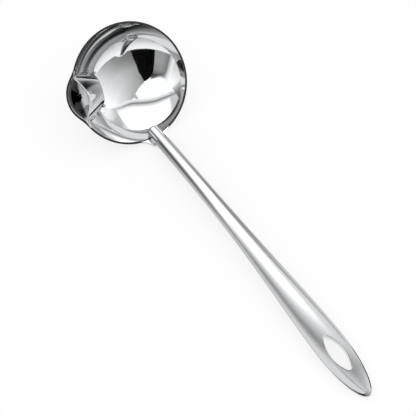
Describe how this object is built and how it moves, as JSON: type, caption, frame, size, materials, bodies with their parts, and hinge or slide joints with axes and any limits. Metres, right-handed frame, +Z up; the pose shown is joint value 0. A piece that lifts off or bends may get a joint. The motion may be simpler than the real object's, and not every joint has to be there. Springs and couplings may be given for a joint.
{
  "type": "soup ladle",
  "caption": "Stainless steel soup ladle with a round bowl, a side pouring lip behind a spot-welded baffle, and a tube handle flattened towards a hanging hole.",
  "frame": {"origin": "middle of the bounding box's bottom face, on the table that the ladle rests on", "axes": "+X from the bowl towards the handle's tip, +Z up from the table, -Y towards the side that pours"},
  "size_m": [0.3282, 0.0974, 0.0672],
  "materials": {
    "polished_steel": "mirror-polished stainless steel",
    "baffle_steel": "polished stainless steel sheet",
    "satin_steel": "satin stainless steel tube",
    "cap_steel": "satin stainless steel",
    "weld_steel": "cleaned weld"
  },
  "bodies": {
    "root": {"bowl": "polished_steel", "pouring_baffle": "baffle_steel", "baffle_spot_welds": "weld_steel", "handle_tube": "satin_steel", "neck_end_cap": "cap_steel", "weld_bead_left": "weld_steel", "weld_bead_right": "weld_steel", "hang_hole_liner": "cap_steel"}
  },
  "joints": []
}
